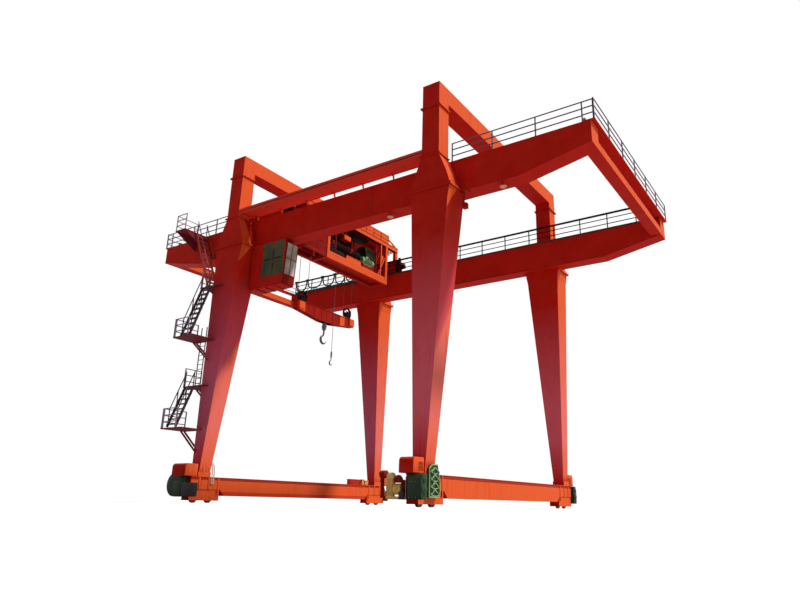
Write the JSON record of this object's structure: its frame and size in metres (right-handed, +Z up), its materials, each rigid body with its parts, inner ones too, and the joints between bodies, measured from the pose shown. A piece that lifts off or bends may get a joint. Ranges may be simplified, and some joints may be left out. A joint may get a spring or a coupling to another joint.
{
  "type": "gantry crane",
  "caption": "Rail gantry crane: twin box girders on tapered leg frames with saddle beams, trolley between the girders, lifting beam with hook, cab and stairs.",
  "frame": {"origin": "floor level under the middle of the four corners", "axes": "+X along the girders, +Y across them along the travel way, +Z up"},
  "size_m": [31.36, 18.845, 21.4288],
  "materials": {
    "orange_red_paint": "satin paint",
    "rail_paint": "thin worn paint",
    "green_paint": "dull machine paint",
    "bare_steel": "oiled steel",
    "black_rubber": "matt sheath",
    "cab_glass": "tinted pane"
  },
  "bodies": {
    "crane": {"bogies": "orange_red_paint", "cab_body": "orange_red_paint", "cab_glass": "cab_glass", "cab_hangers": "orange_red_paint", "cable_track": "rail_paint", "columns": "orange_red_paint", "end_hoods": "orange_red_paint", "end_ties": "orange_red_paint", "end_walkways": "orange_red_paint", "far_girder": "orange_red_paint", "festoon_cables": "black_rubber", "gear_guard": "green_paint", "girder_rails": "rail_paint", "left_ground_beam": "orange_red_paint", "left_legs": "orange_red_paint", "left_saddle_beam": "orange_red_paint", "leg_heads": "orange_red_paint", "near_girder": "orange_red_paint", "near_walkway": "orange_red_paint", "rail_wheels": "bare_steel", "right_ground_beam": "orange_red_paint", "right_legs": "orange_red_paint", "right_saddle_beam": "orange_red_paint", "stair_flights": "rail_paint", "stair_landings": "orange_red_paint", "top_platform": "orange_red_paint", "travel_drives": "green_paint", "trolley_rails": "bare_steel"},
    "trolley": {"hoist_drum": "bare_steel", "hoist_machines": "green_paint", "hoist_motor": "green_paint", "machine_bay": "orange_red_paint", "trolley_carriages": "orange_red_paint", "trolley_deck": "orange_red_paint", "trolley_drives": "green_paint", "trolley_frame": "orange_red_paint", "trolley_handrails": "rail_paint", "trolley_wheels": "bare_steel"},
    "main_hook": {"lifting_beam": "orange_red_paint", "main_hook": "bare_steel", "main_ropes": "bare_steel", "sheave_blocks": "bare_steel"},
    "aux_hook": {"aux_hook": "bare_steel", "aux_rope": "bare_steel"}
  },
  "joints": [
    {"name": "trolley_travel", "type": "slide", "parent": "crane", "child": "trolley", "axis": [1, 0, 0], "range_m": [-6.7, 18.5]},
    {"name": "main_hoist", "type": "slide", "parent": "trolley", "child": "main_hook", "axis": [0, 0, 1], "range_m": [-9.5, 2.5], "deforming": ["main_ropes"]},
    {"name": "aux_hoist", "type": "slide", "parent": "trolley", "child": "aux_hook", "axis": [0, 0, 1], "range_m": [-8, 5], "deforming": ["aux_rope"]}
  ]
}
